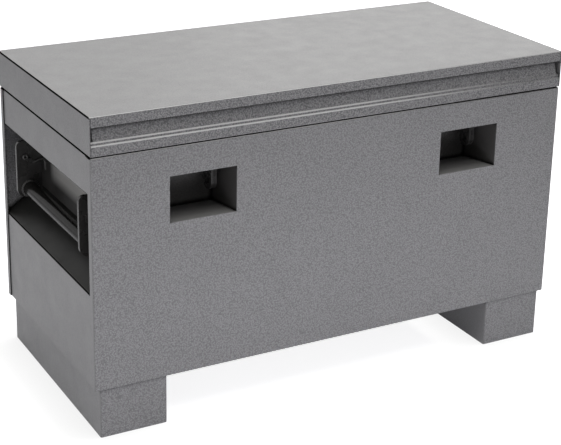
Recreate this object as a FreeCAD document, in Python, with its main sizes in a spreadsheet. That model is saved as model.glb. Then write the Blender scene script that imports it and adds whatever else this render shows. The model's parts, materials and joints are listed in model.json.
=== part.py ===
import FreeCAD, Part
import math
import os

import Sketcher

# Jobsite storage box: a welded sheet-steel chest on two skids, with a hinged lid, two recessed
# padlock pockets in the front, a drop handle recessed in each end and two gas struts.
# Millimetres, +Z up. The origin is on the floor, under the middle of the box.
# X runs along the box, and -Y is the front, where the padlock pockets are.

SIZES = {
    # outside of the whole box
    "box_length": 914.4,
    "box_depth": 431.8,
    "box_height": 558.8,
    # body shell
    "panel_gauge": 1.9,
    "bend_radius": 3.0,
    "rim_width": 22.0,
    "corner_lap": 13.5,
    # skids
    "skid_height": 88.6,
    "skid_width": 120.0,
    "skid_end_inset": 9.6,
    "skid_front_inset": 2.8,
    "skid_rear_inset": 9.0,
    # lid shell
    "lid_height": 66.2,
    "lid_gap": 1.2,
    "lid_gauge": 1.5,
    "lid_bend_radius": 2.6,
    "lid_flange": 14.0,
    "lower_band": 16.6,
    "ledge_rise": 2.1,
    "ledge_step": 2.2,
    "ledge_web": 3.4,
    "top_band": 17.5,
    "band_recess": 11.0,
    "band_notch": 5.0,
    "cap_seam": 0.8,
    "stiffener_width": 64.0,
    "stiffener_depth": 18.0,
    "stiffener_foot": 16.0,
    "stiffener_end_gap": 60.0,
    # padlock pockets and the two plates that a padlock joins
    "pocket_inset": 195.8,
    "pocket_width": 121.0,
    "pocket_height": 80.1,
    "pocket_drop": 49.9,
    "pocket_depth": 95.0,
    "pocket_floor_fall": 11.0,
    "pocket_gauge": 1.5,
    "hasp_gauge": 5.0,
    "hasp_width": 30.0,
    "hasp_setback": 65.0,
    "hasp_wall_gap": 12.0,
    "hasp_drop": 43.0,
    "hasp_foot": 40.0,
    "padlock_hole": 13.0,
    "plate_gap": 1.0,
    "slot_clearance": 3.0,
    "slot_swing": 16.0,
    # handle recesses
    "recess_drop": 66.8,
    "recess_height": 171.6,
    "recess_depth": 68.0,
    "recess_slope": 43.0,
    # drop handles
    "handle_spread": 300.0,
    "arm_gauge": 6.5,
    "arm_width": 46.0,
    "arm_corner": 10.0,
    "arm_foot_corner": 17.0,
    "arm_head": 36.0,
    "arm_foot": 16.0,
    "handle_reach": 54.0,
    "pivot_drop": 120.0,
    "pivot_setback": 24.3,
    "grip_diameter": 25.4,
    "grip_wall": 2.5,
    "lug_gauge": 5.0,
    "lug_radius": 12.5,
    "lug_foot": 26.0,
    "pivot_pin": 10.0,
    "pivot_tip": 7.0,
    "side_play": 0.4,
    "pin_clearance": 0.06,
    # continuous hinge
    "hinge_end_gap": 27.0,
    "leaf_gauge": 1.5,
    "leaf_height": 26.0,
    "knuckle_radius": 4.0,
    "hinge_pin": 4.4,
    "knuckle_play": 0.4,
    # gas struts
    "lid_opening": 80.0,
    "strut_inset": 34.0,
    "strut_body_setback": 36.0,
    "strut_body_drop": 26.0,
    "strut_lid_setback": 196.0,
    "strut_lid_rise": 36.0,
    "strut_cylinder": 18.0,
    "strut_rod": 8.0,
    "strut_eye": 16.0,
    "strut_eye_width": 8.0,
    "strut_neck": 16.0,
    "strut_neck_height": 10.0,
    "strut_rod_showing": 14.0,
    "strut_rod_left": 14.0,
    "strut_rod_room": 3.0,
    "strut_stud": 8.0,
    "strut_stud_tip": 3.0,
    "strut_plate_gauge": 3.0,
    "strut_plate_width": 34.0,
    "strut_plate_height": 24.0,
}

# The knuckles of the hinge: the body leaf has the odd ones, the lid leaf the even ones.
KNUCKLES = 9

SHEET = "Sizes"
PARTS_FOLDER = "parts"


class Size:
    """A length with its value and the spreadsheet expression that gives it."""

    def __init__(self, value, text=None):
        self.value = float(value)
        self.text = repr(float(value)) if text is None else text

    def _join(self, other, sign, value):
        other = as_size(other)
        return Size(value(self.value, other.value), f"({self.text} {sign} {other.text})")

    def __add__(self, other):
        return self._join(other, "+", lambda a, b: a + b)

    def __sub__(self, other):
        return self._join(other, "-", lambda a, b: a - b)

    def __mul__(self, other):
        return self._join(other, "*", lambda a, b: a * b)

    def __truediv__(self, other):
        return self._join(other, "/", lambda a, b: a / b)

    def __radd__(self, other):
        return as_size(other) + self

    def __rsub__(self, other):
        return as_size(other) - self

    def __rmul__(self, other):
        return as_size(other) * self

    def __neg__(self):
        return Size(0) - self

    def root(self):
        return Size(math.sqrt(self.value), f"sqrt({self.text})")

    def sine(self):
        return Size(math.sin(math.radians(self.value)), f"sin({self.text} * 1 deg)")

    def cosine(self):
        return Size(math.cos(math.radians(self.value)), f"cos({self.text} * 1 deg)")


def as_size(value):
    return value if isinstance(value, Size) else Size(value)


class Sizes:
    """The driving dimensions: one spreadsheet cell and one attribute each."""

    def __init__(self, document, values):
        self.sheet = document.addObject("Spreadsheet::Sheet", SHEET)
        for row, (name, value) in enumerate(values.items(), start=1):
            self.sheet.set(f"A{row}", name)
            self.sheet.set(f"B{row}", str(value))
            self.sheet.setAlias(f"B{row}", name)
            setattr(self, name, Size(value, f"{SHEET}.{name}"))
        document.recompute()


doc = FreeCAD.newDocument("jobsite_storage_box")
S = Sizes(doc, SIZES)
PARTS = []

# Levels and faces that several pieces share.
half_length = S.box_length / 2
half_depth = S.box_depth / 2
body_bottom = S.skid_height
body_top = S.box_height - S.lid_height - S.lid_gap
lid_bottom = S.box_height - S.lid_height
lid_top = S.box_height
end_face = half_length - S.panel_gauge
end_inner = end_face - S.panel_gauge
wall_inner = half_depth - S.panel_gauge
recess_top = body_top - S.recess_drop
recess_bottom = recess_top - S.recess_height
recess_back = end_face - S.recess_depth
pivot_x = end_face - S.pivot_setback
pivot_z = body_top - S.pivot_drop
grip_z = pivot_z - S.handle_reach
hinge_y = half_depth + S.knuckle_radius
hinge_z = body_top + S.lid_gap / 2


# ---------------------------------------------------------------- modelling helpers


def bind(thing, name, size):
    thing.setExpression(name, as_size(size).text)


def new_body(label):
    body = doc.addObject("PartDesign::Body", label)
    body.Label = label
    PARTS.append(body)
    return body


def origin_item(body, role):
    return next(item for item in body.Origin.OriginFeatures if item.Role == role)


def new_sketch(body, plane, offset):
    """A sketch on one of the body's origin planes, moved along the plane's normal."""
    sketch = body.newObject("Sketcher::SketchObject", f"{body.Name}_sketch")
    sketch.AttachmentSupport = [(origin_item(body, plane), "")]
    sketch.MapMode = "FlatFace"
    bind(sketch, "AttachmentOffset.Base.z", offset)
    return sketch


def pin_point(sketch, edge, end, across, up):
    """Fix one point of a sketch edge at two sizes from the sketch's origin."""
    for kind, size in (("DistanceX", across), ("DistanceY", up)):
        size = as_size(size)
        index = sketch.addConstraint(Sketcher.Constraint(kind, -1, 1, edge, end, size.value))
        bind(sketch, f"Constraints[{index}]", size)


def draw_outline(sketch, points):
    """A closed outline of straight lines through the points."""
    corners = [(as_size(a), as_size(b)) for a, b in points]
    first = sketch.GeometryCount
    count = len(corners)
    for index, start in enumerate(corners):
        end = corners[(index + 1) % count]
        line = Part.LineSegment(FreeCAD.Vector(start[0].value, start[1].value, 0),
                                FreeCAD.Vector(end[0].value, end[1].value, 0))
        sketch.addGeometry(line, False)
    for index in range(count):
        following = first + (index + 1) % count
        sketch.addConstraint(Sketcher.Constraint("Coincident", first + index, 2, following, 1))
    for index, corner in enumerate(corners):
        pin_point(sketch, first + index, 1, corner[0], corner[1])


def draw_rectangle(sketch, low, high):
    draw_outline(sketch, [low, (high[0], low[1]), high, (low[0], high[1])])


def draw_circle(sketch, across, up, radius):
    across, up, radius = as_size(across), as_size(up), as_size(radius)
    centre = FreeCAD.Vector(across.value, up.value, 0)
    edge = sketch.addGeometry(Part.Circle(centre, FreeCAD.Vector(0, 0, 1), radius.value), False)
    pin_point(sketch, edge, 3, across, up)
    index = sketch.addConstraint(Sketcher.Constraint("Radius", edge, radius.value))
    bind(sketch, f"Constraints[{index}]", radius)


def feature(body, kind, sketch, length, both_ways=False):
    made = body.newObject(f"PartDesign::{kind}", f"{body.Name}_{kind.lower()}")
    made.Profile = sketch
    bind(made, "Length", length)
    if both_ways:
        made.SideType = "Symmetric"
    return made


def pad(body, sketch, length, both_ways=False):
    return feature(body, "Pad", sketch, length, both_ways)


def cut(body, sketch, length):
    """Take the sketch's outline away, half of the length to each side of its plane."""
    before = current_volume(body)
    made = feature(body, "Pocket", sketch, length, both_ways=True)
    if not current_volume(body) < before:
        raise RuntimeError(f"{body.Label}: a cut took nothing away")
    return made


def current_volume(body):
    doc.recompute()
    return body.Shape.Volume


def edges_along(body, axis, spots):
    """Names of the body's straight edges along one axis that pass through the given spots."""
    doc.recompute()
    others = [index for index, name in enumerate("XYZ") if name != axis]
    names = []
    for number, edge in enumerate(body.Tip.Shape.Edges, start=1):
        ends = [vertex.Point for vertex in edge.Vertexes]
        if len(ends) != 2 or any(abs(ends[0][i] - ends[1][i]) > 1e-4 for i in others):
            continue
        for spot in spots:
            if all(abs(ends[0][i] - as_size(place).value) < 1e-3 for i, place in zip(others, spot)):
                names.append(f"Edge{number}")
                break
    return names


def round_edges(body, radius, *picks):
    """Round straight edges, given as (axis, list of spots) pairs."""
    names = []
    for axis, spots in picks:
        found = edges_along(body, axis, spots)
        if not found:
            raise RuntimeError(f"{body.Label}: no edge to round")
        names += found
    base = body.Tip
    made = body.newObject("PartDesign::Fillet", f"{body.Name}_fillet")
    made.Base = (base, names)
    bind(made, "Radius", radius)
    return made


def sheet_outline(path, gauge):
    """The outline of a bent sheet: its outer path, and the same path one gauge to its left."""
    points = [(as_size(a), as_size(b)) for a, b in path]
    normals = []
    for start, end in zip(points, points[1:]):
        across, up = end[0] - start[0], end[1] - start[1]
        length = (across * across + up * up).root()
        normals.append((-(up / length), across / length))
    inner = []
    for index, (across, up) in enumerate(points):
        before = normals[max(index - 1, 0)]
        after = normals[min(index, len(normals) - 1)]
        spread = before[0] * after[0] + before[1] * after[1] + 1
        inner.append((across + gauge * (before[0] + after[0]) / spread,
                      up + gauge * (before[1] + after[1]) / spread))
    return points + inner[::-1]


LEFT, RIGHT = -1, 1
FRONT, REAR = -1, 1
SIDES = {"left": LEFT, "right": RIGHT}
THROUGH = 2  # how far a cut runs past the sheet it goes through


# ---------------------------------------------------------------- body shell


def wall_panel(label, facing, pocket_centres):
    """Front or rear wall with its top rim, and a lap folded round each end."""
    outer = facing * half_depth
    inner = facing * wall_inner
    rim = facing * (half_depth - S.rim_width)
    body = new_body(label)
    wall = new_sketch(body, "YZ_Plane", 0)
    draw_outline(wall, [(outer, body_bottom), (outer, body_top), (rim, body_top),
                        (rim, body_top - S.panel_gauge), (inner, body_top - S.panel_gauge),
                        (inner, body_bottom)])
    pad(body, wall, S.box_length, both_ways=True)
    laps = new_sketch(body, "XY_Plane", body_bottom)
    lap_edge = facing * (half_depth - S.corner_lap)
    for side in SIDES.values():
        draw_rectangle(laps, (side * half_length, outer), (side * end_face, lap_edge))
    pad(body, laps, body_top - body_bottom)
    if pocket_centres:
        openings = new_sketch(body, "XZ_Plane", -outer)
        for centre in pocket_centres:
            top = body_top - S.pocket_drop
            draw_rectangle(openings, (centre - S.pocket_width / 2, top - S.pocket_height),
                           (centre + S.pocket_width / 2, top))
        cut(body, openings, S.panel_gauge * 2 + THROUGH)
    corners = [(side * half_length, outer) for side in SIDES.values()]
    ends = [(side * half_length, body_top) for side in SIDES.values()]
    round_edges(body, S.bend_radius, ("X", [(outer, body_top)]), ("Y", ends), ("Z", corners))
    return body


def end_panel(label, side):
    """End wall in one bent sheet: rim, upper strip, handle recess, lower strip."""
    path = [(side * (end_face - S.rim_width), body_top), (side * end_face, body_top),
            (side * end_face, recess_top), (side * recess_back, recess_top),
            (side * recess_back, recess_bottom + S.recess_slope),
            (side * end_face, recess_bottom), (side * end_face, body_bottom)]
    if side == RIGHT:
        path = path[::-1]
    body = new_body(label)
    profile = new_sketch(body, "XZ_Plane", 0)
    draw_outline(profile, sheet_outline(path, S.panel_gauge))
    pad(body, profile, wall_inner * 2, both_ways=True)
    bends = [(side * end_face, body_top), (side * end_face, recess_top), (side * end_face, recess_bottom)]
    round_edges(body, S.bend_radius, ("Y", bends))
    corners = new_sketch(body, "YZ_Plane", 0)
    for facing in (FRONT, REAR):
        draw_rectangle(corners, (facing * (half_depth - S.rim_width), body_top - S.panel_gauge),
                       (facing * half_depth, body_top + THROUGH))
    cut(body, corners, S.box_length + THROUGH)
    return body


def floor_pan():
    """Bottom sheet, welded in between the four walls."""
    body = new_body("floor_pan")
    sheet = new_sketch(body, "XY_Plane", body_bottom)
    draw_rectangle(sheet, (-end_inner, -wall_inner), (end_inner, wall_inner))
    pad(body, sheet, S.panel_gauge)
    return body


def skid(label, side):
    """Full-depth foot: a pan of bent sheet, open at the top against the floor of the box."""
    outer = half_length - S.skid_end_inset
    front, rear = S.skid_front_inset - half_depth, half_depth - S.skid_rear_inset
    body = new_body(label)
    block = new_sketch(body, "XY_Plane", 0)
    inner = outer - S.skid_width
    draw_rectangle(block, (side * outer, front), (side * inner, rear))
    pad(body, block, S.skid_height)
    corners = [(side * place, end) for place in (outer, inner) for end in (front, rear)]
    round_edges(body, S.bend_radius, ("Z", corners))
    room = new_sketch(body, "XY_Plane", S.panel_gauge + S.skid_height)
    draw_rectangle(room, (side * (outer - S.panel_gauge), front + S.panel_gauge),
                   (side * (inner + S.panel_gauge), rear - S.panel_gauge))
    cut(body, room, S.skid_height * 2)
    return body


# ---------------------------------------------------------------- padlock pockets and hasps


def pocket_centre(side):
    return side * (half_length - S.pocket_inset)


def hasp_place(side):
    """Middle of the lid's hasp plate along the box, near the right wall of its pocket."""
    return pocket_centre(side) + S.pocket_width / 2 - S.hasp_wall_gap - S.hasp_gauge / 2


def lock_pocket(label, side):
    """Five-sided box behind the opening, with a slot in its roof for the hasp."""
    front, back = -wall_inner, S.pocket_depth - half_depth
    top = body_top - S.pocket_drop
    sill = top - S.pocket_height
    low = sill - S.pocket_floor_fall
    skin = S.pocket_gauge
    body = new_body(label)
    shell = new_sketch(body, "YZ_Plane", pocket_centre(side))
    draw_outline(shell, [(front, sill - skin), (back + skin, low - skin), (back + skin, top + skin),
                         (front, top + skin)])
    pad(body, shell, S.pocket_width + skin * 2, both_ways=True)
    room = new_sketch(body, "YZ_Plane", pocket_centre(side))
    draw_outline(room, [(front - THROUGH, sill), (front, sill), (back, low), (back, top),
                        (front - THROUGH, top)])
    cut(body, room, S.pocket_width)
    slot = new_sketch(body, "XY_Plane", top + skin)
    middle = S.hasp_setback - half_depth
    reach = S.hasp_width / 2 + S.slot_clearance
    half_slot = S.hasp_gauge / 2 + S.plate_gap
    draw_rectangle(slot, (hasp_place(side) - half_slot, middle - reach - S.slot_swing),
                   (hasp_place(side) + half_slot, middle + reach))
    cut(body, slot, skin * 2 + THROUGH)
    return body


def lock_plate(label, place, top, foot):
    """Upright steel plate with a round lower end and a padlock hole, and a foot bent at its top."""
    middle = S.hasp_setback - half_depth
    hole_z = body_top - S.pocket_drop - S.hasp_drop
    radius = S.hasp_width / 2
    body = new_body(label)
    strip = new_sketch(body, "YZ_Plane", place)
    draw_rectangle(strip, (middle - radius, hole_z), (middle + radius, top))
    pad(body, strip, S.hasp_gauge, both_ways=True)
    nose = new_sketch(body, "YZ_Plane", place)
    draw_circle(nose, middle, hole_z, radius)
    pad(body, nose, S.hasp_gauge, both_ways=True)
    bent = new_sketch(body, "XY_Plane", top - S.hasp_gauge)
    near_face = place + foot * S.hasp_gauge / 2
    draw_rectangle(bent, (place - foot * S.hasp_gauge / 2, middle - radius),
                   (near_face + foot * S.hasp_foot, middle + radius))
    pad(body, bent, S.hasp_gauge)
    hole = new_sketch(body, "YZ_Plane", place)
    draw_circle(hole, middle, hole_z, S.padlock_hole / 2)
    cut(body, hole, S.hasp_gauge + THROUGH)
    return body


# ---------------------------------------------------------------- lid


def lid_skin():
    """Front, top and rear of the lid in one bent sheet, with a stepped front."""
    front = -half_depth
    band_top = lid_bottom + S.lower_band
    first_ledge = band_top + S.ledge_rise
    second_ledge = first_ledge + S.ledge_web
    slope_foot = second_ledge + S.ledge_rise
    under_band = lid_top - S.top_band
    gauge = S.lid_gauge
    path = [(front + S.lid_flange, lid_bottom), (front, lid_bottom), (front, band_top),
            (front + S.ledge_step, first_ledge), (front + S.ledge_step, second_ledge),
            (front + S.ledge_step * 2, slope_foot), (front + S.band_recess, under_band),
            (front, under_band), (front, lid_top), (half_depth, lid_top),
            (half_depth, lid_bottom), (half_depth - S.lid_flange, lid_bottom)]
    body = new_body("lid_skin")
    profile = new_sketch(body, "YZ_Plane", 0)
    draw_outline(profile, sheet_outline(path, Size(0) - gauge))
    pad(body, profile, S.box_length, both_ways=True)
    ends = new_sketch(body, "XZ_Plane", 0)
    notches = new_sketch(body, "XZ_Plane", half_depth)
    for side in SIDES.values():
        draw_rectangle(ends, (side * (half_length - gauge - S.cap_seam), lid_bottom - THROUGH),
                       (side * (half_length + THROUGH), lid_top - gauge))
        draw_rectangle(notches, (side * (half_length - gauge - S.band_notch), slope_foot),
                       (side * (half_length - gauge + THROUGH), under_band))
    cut(body, ends, S.box_depth + THROUGH)
    cut(body, notches, (S.band_recess + gauge * 2) * 2)
    bends = [(place, level) for place in (front, half_depth) for level in (lid_bottom, lid_top)]
    round_edges(body, S.lid_bend_radius, ("X", bends))
    return body


def lid_cap(label, side):
    """End of the lid: a wall with a flange turned in at its top and its bottom."""
    gauge = S.lid_gauge
    top = lid_top - gauge
    inner = half_length - gauge
    reach = half_length - S.lid_flange
    body = new_body(label)
    wall = new_sketch(body, "XZ_Plane", 0)
    draw_rectangle(wall, (side * inner, lid_bottom), (side * half_length, top))
    pad(body, wall, S.box_depth, both_ways=True)
    upper = new_sketch(body, "XZ_Plane", 0)
    draw_rectangle(upper, (side * inner, top - gauge), (side * reach, top))
    pad(body, upper, S.box_depth - S.lid_bend_radius * 4, both_ways=True)
    lower = new_sketch(body, "XZ_Plane", 0)
    draw_rectangle(lower, (side * inner, lid_bottom), (side * reach, lid_bottom + gauge))
    pad(body, lower, S.box_depth - S.lid_flange * 2, both_ways=True)
    bends = [(side * half_length, lid_bottom), (side * half_length, top)]
    round_edges(body, S.lid_bend_radius, ("Y", bends))
    return body


def lid_stiffener():
    """Hat section welded lengthwise under the top of the lid."""
    under_feet = lid_top - S.lid_gauge * 2
    under_web = lid_top - S.lid_gauge - S.stiffener_depth
    half = S.stiffener_width / 2
    web = half - S.stiffener_foot
    path = [(-half, under_feet), (-web, under_feet), (-web, under_web), (web, under_web),
            (web, under_feet), (half, under_feet)]
    body = new_body("lid_stiffener")
    profile = new_sketch(body, "YZ_Plane", 0)
    draw_outline(profile, sheet_outline(path, S.lid_gauge))
    pad(body, profile, S.box_length - S.stiffener_end_gap * 2, both_ways=True)
    return body


# ---------------------------------------------------------------- continuous hinge


def hinge_leaf(label, upward, first, count):
    """One leaf of the continuous hinge, with every second knuckle and the bore for the pin."""
    hinge_length = S.box_length - S.hinge_end_gap * 2
    pitch = hinge_length / KNUCKLES
    far = hinge_z + upward * S.leaf_height
    near = hinge_z + upward * (S.knuckle_radius + S.knuckle_play)
    face = half_depth + S.leaf_gauge
    body = new_body(label)
    leaf = new_sketch(body, "YZ_Plane", 0)
    draw_rectangle(leaf, (half_depth, near), (face, far))
    pad(body, leaf, hinge_length, both_ways=True)
    start = first * pitch - hinge_length / 2 + S.knuckle_play / 2
    tab = new_sketch(body, "YZ_Plane", start)
    draw_rectangle(tab, (half_depth, hinge_z), (face, near))
    tab_pad = pad(body, tab, pitch - S.knuckle_play)
    barrel = new_sketch(body, "YZ_Plane", start)
    draw_circle(barrel, hinge_y, hinge_z, S.knuckle_radius)
    barrel_pad = pad(body, barrel, pitch - S.knuckle_play)
    bore = new_sketch(body, "YZ_Plane", start)
    draw_circle(bore, hinge_y, hinge_z, S.hinge_pin / 2 + S.pin_clearance)
    bore_cut = cut(body, bore, pitch * 2)
    row = body.newObject("PartDesign::LinearPattern", f"{label}_row")
    row.Originals = [tab_pad, barrel_pad, bore_cut]
    row.Direction = (origin_item(body, "X_Axis"), [""])
    row.Occurrences = count
    bind(row, "Length", pitch * 2 * (count - 1))
    body.Tip = row
    return body


def hinge_pin():
    body = new_body("hinge_pin")
    rod = new_sketch(body, "YZ_Plane", 0)
    draw_circle(rod, hinge_y, hinge_z, S.hinge_pin / 2)
    pad(body, rod, S.box_length - S.hinge_end_gap * 2, both_ways=True)
    return body


# ---------------------------------------------------------------- drop handles


def handle_arm(label, side, facing):
    """Flat arm with rounded corners, and the hole for its pivot pin."""
    middle = facing * S.handle_spread / 2
    centre = side * pivot_x
    half = S.arm_width / 2
    head, foot = pivot_z + S.arm_head, grip_z - S.arm_foot
    body = new_body(label)
    flat = new_sketch(body, "XZ_Plane", -middle)
    draw_rectangle(flat, (centre - half, foot), (centre + half, head))
    pad(body, flat, S.arm_gauge, both_ways=True)
    for level, radius in ((head, S.arm_corner), (foot, S.arm_foot_corner)):
        corners = [(centre + end * half, level) for end in (-1, 1)]
        round_edges(body, radius, ("Y", corners))
    hole = new_sketch(body, "XZ_Plane", -middle)
    draw_circle(hole, centre, pivot_z, S.pivot_pin / 2 + S.pin_clearance)
    cut(body, hole, S.arm_gauge + THROUGH)
    return body


def handle_grip(label, side):
    """Tube welded between the two arms."""
    body = new_body(label)
    ring = new_sketch(body, "XZ_Plane", 0)
    draw_circle(ring, side * pivot_x, grip_z, S.grip_diameter / 2)
    draw_circle(ring, side * pivot_x, grip_z, S.grip_diameter / 2 - S.grip_wall)
    pad(body, ring, S.handle_spread - S.arm_gauge, both_ways=True)
    return body


def lug_face(facing):
    """Inner face of a lug, which stands outside its arm."""
    return facing * (S.handle_spread / 2 + S.arm_gauge / 2 + S.side_play)


def handle_lug(label, side, facing):
    """Bracket of the handle: a lug with a round nose, its welded pivot pin, and a foot."""
    inner = lug_face(facing)
    middle = inner + facing * S.lug_gauge / 2
    tip = facing * (S.handle_spread / 2 - S.arm_gauge / 2 - S.pivot_tip)
    wall = side * recess_back
    centre = side * pivot_x
    low = pivot_z - S.lug_radius
    body = new_body(label)
    plate = new_sketch(body, "XZ_Plane", -middle)
    draw_rectangle(plate, (centre, low), (wall, pivot_z + S.lug_radius))
    pad(body, plate, S.lug_gauge, both_ways=True)
    nose = new_sketch(body, "XZ_Plane", -middle)
    draw_circle(nose, centre, pivot_z, S.lug_radius)
    pad(body, nose, S.lug_gauge, both_ways=True)
    foot = new_sketch(body, "XY_Plane", low)
    draw_rectangle(foot, (side * (recess_back + S.lug_gauge), inner),
                   (wall, inner + facing * S.lug_foot))
    pad(body, foot, S.lug_radius * 2)
    pin = new_sketch(body, "XZ_Plane", -(middle + tip) / 2)
    draw_circle(pin, centre, pivot_z, S.pivot_pin / 2)
    pad(body, pin, facing * (middle - tip), both_ways=True)
    return body


# ---------------------------------------------------------------- gas struts

strut_x = end_inner - S.strut_inset
strut_body_y = half_depth - S.strut_body_setback
strut_body_z = body_top - S.strut_body_drop
strut_lid_y = half_depth - S.strut_lid_setback
strut_lid_z = body_top + S.strut_lid_rise


def distance(across, up):
    return (across * across + up * up).root()


def strut_lengths():
    """Length of a strut with the lid shut and with the lid open."""
    across, up = strut_lid_y - hinge_y, strut_lid_z - hinge_z
    sine, cosine = S.lid_opening.sine(), S.lid_opening.cosine()
    open_y = hinge_y + across * cosine + up * sine
    open_z = hinge_z - across * sine + up * cosine
    shut = distance(strut_lid_y - strut_body_y, strut_lid_z - strut_body_z)
    opened = distance(open_y - strut_body_y, open_z - strut_body_z)
    return shut, opened


def place_on_strut(body, side):
    """Put a piece, drawn along its own +Y, on the line from the body stud to the lid stud."""
    across, up = strut_lid_y - strut_body_y, strut_lid_z - strut_body_z
    angle = math.degrees(math.atan2(up.value, across.value))
    turn = FreeCAD.Rotation(FreeCAD.Vector(1, 0, 0), angle)
    body.Placement = FreeCAD.Placement(FreeCAD.Vector(0, 0, 0), turn)
    bind(body, "Placement.Base.x", side * strut_x)
    bind(body, "Placement.Base.y", strut_body_y)
    bind(body, "Placement.Base.z", strut_body_z)
    body.setExpression("Placement.Rotation.Angle", f"atan2({up.text}; {across.text})")


def strut_bar(body, start, end, diameter):
    """Round bar along the strut, between two distances from the body stud."""
    ring = new_sketch(body, "XZ_Plane", -end)
    draw_circle(ring, 0, 0, diameter / 2)
    pad(body, ring, end - start)


def strut_eye(body, stud, neck_end):
    """Eye on its stud, with a flat neck out to the bar."""
    eye = new_sketch(body, "YZ_Plane", 0)
    draw_circle(eye, stud, 0, S.strut_eye / 2)
    pad(body, eye, S.strut_eye_width, both_ways=True)
    neck = new_sketch(body, "YZ_Plane", 0)
    half_neck = S.strut_neck_height / 2
    draw_rectangle(neck, (stud, -half_neck), (neck_end, half_neck))
    pad(body, neck, S.strut_eye_width, both_ways=True)
    bore = new_sketch(body, "YZ_Plane", 0)
    draw_circle(bore, stud, 0, S.strut_stud / 2 + S.pin_clearance)
    cut(body, bore, S.strut_eye_width + THROUGH)


def gas_strut(name, side):
    """Cylinder and rod of one strut, each with its welded eye, at their places with the lid shut."""
    shut, opened = strut_lengths()
    rod_end = shut - S.strut_neck
    cylinder_end = rod_end - S.strut_rod_showing
    rod_start = cylinder_end - (opened - shut) - S.strut_rod_left
    cylinder = new_body(f"{name}_strut_cylinder")
    strut_bar(cylinder, S.strut_neck, cylinder_end, S.strut_cylinder)
    strut_eye(cylinder, Size(0), S.strut_neck)
    bore_end = rod_start - S.strut_rod_room
    bore = new_sketch(cylinder, "XZ_Plane", -cylinder_end)
    draw_circle(bore, 0, 0, S.strut_rod / 2 + S.pin_clearance)
    cut(cylinder, bore, (cylinder_end - bore_end) * 2)
    place_on_strut(cylinder, side)
    rod = new_body(f"{name}_strut_rod")
    strut_bar(rod, rod_start, rod_end, S.strut_rod)
    strut_eye(rod, shut, rod_end)
    place_on_strut(rod, side)


def strut_bracket(label, side):
    """Plate on the end wall, with the stud that carries the strut's body eye."""
    wall = side * end_inner
    tip = side * (strut_x - S.strut_eye_width / 2 - S.strut_stud_tip)
    body = new_body(label)
    plate = new_sketch(body, "YZ_Plane", side * (end_inner - S.strut_plate_gauge / 2))
    low = (strut_body_y - S.strut_plate_width / 2, strut_body_z - S.strut_plate_height / 2)
    high = (strut_body_y + S.strut_plate_width / 2, strut_body_z + S.strut_plate_height / 2)
    draw_rectangle(plate, low, high)
    pad(body, plate, S.strut_plate_gauge, both_ways=True)
    stud = new_sketch(body, "YZ_Plane", (wall + tip) / 2)
    draw_circle(stud, strut_body_y, strut_body_z, S.strut_stud / 2)
    pad(body, stud, side * (wall - tip), both_ways=True)
    return body


def lid_stud(label, side):
    """Plate on the lid's cap, with the stud that ends beside the strut's lid eye."""
    wall = side * (half_length - S.lid_gauge)
    tip = side * (strut_x + S.strut_eye_width / 2 + S.side_play)
    body = new_body(label)
    plate = new_sketch(body, "YZ_Plane", wall - side * S.strut_plate_gauge / 2)
    low = (strut_lid_y - S.strut_plate_width / 2, strut_lid_z - S.strut_plate_height / 2)
    high = (strut_lid_y + S.strut_plate_width / 2, strut_lid_z + S.strut_plate_height / 2)
    draw_rectangle(plate, low, high)
    pad(body, plate, S.strut_plate_gauge, both_ways=True)
    stud = new_sketch(body, "YZ_Plane", (wall + tip) / 2)
    draw_circle(stud, strut_lid_y, strut_lid_z, S.strut_stud / 2)
    pad(body, stud, side * (wall - tip), both_ways=True)
    return body


# ---------------------------------------------------------------- the whole box


def build():
    wall_panel("front_panel", FRONT, [pocket_centre(side) for side in SIDES.values()])
    wall_panel("rear_panel", REAR, [])
    floor_pan()
    lid_skin()
    lid_stiffener()
    hinge_leaf("hinge_body_leaf", -1, 0, (KNUCKLES + 1) // 2)
    hinge_leaf("hinge_lid_leaf", 1, 1, KNUCKLES // 2)
    hinge_pin()
    for name, side in SIDES.items():
        end_panel(f"{name}_end_panel", side)
        skid(f"{name}_skid", side)
        lock_pocket(f"{name}_lock_pocket", side)
        lock_plate(f"{name}_hasp", hasp_place(side), lid_top - S.lid_gauge, RIGHT)
        staple_place = hasp_place(side) - S.hasp_gauge - S.plate_gap
        lock_plate(f"{name}_staple", staple_place, body_top - S.pocket_drop, LEFT)
        lid_cap(f"{name}_lid_cap", side)
        handle_grip(f"{name}_handle_grip", side)
        for end, facing in (("front", FRONT), ("rear", REAR)):
            handle_arm(f"{name}_handle_{end}_arm", side, facing)
            handle_lug(f"{name}_handle_{end}_lug", side, facing)
        gas_strut(name, side)
        strut_bracket(f"{name}_strut_bracket", side)
        lid_stud(f"{name}_lid_stud", side)


def check():
    doc.recompute()
    for thing in doc.Objects:
        if "Invalid" in thing.State or "Error" in thing.State:
            raise RuntimeError(f"{thing.Label} failed: {thing.State}")
    for part in PARTS:
        if part.Shape.isNull() or not part.Shape.isValid() or not part.Shape.Solids:
            raise RuntimeError(f"{part.Label} has no valid solid")


def export():
    os.makedirs(PARTS_FOLDER, exist_ok=True)
    for part in PARTS:
        part.Shape.exportStep(os.path.join(PARTS_FOLDER, f"{part.Label}.step"))


build()
check()
export()
print(len(PARTS), "parts")
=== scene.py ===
import json
import logging
import math
from dataclasses import dataclass, field
from enum import Enum, IntEnum
from typing import Callable, Iterable, Sequence

import bpy
from mathutils import Matrix, Vector

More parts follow.
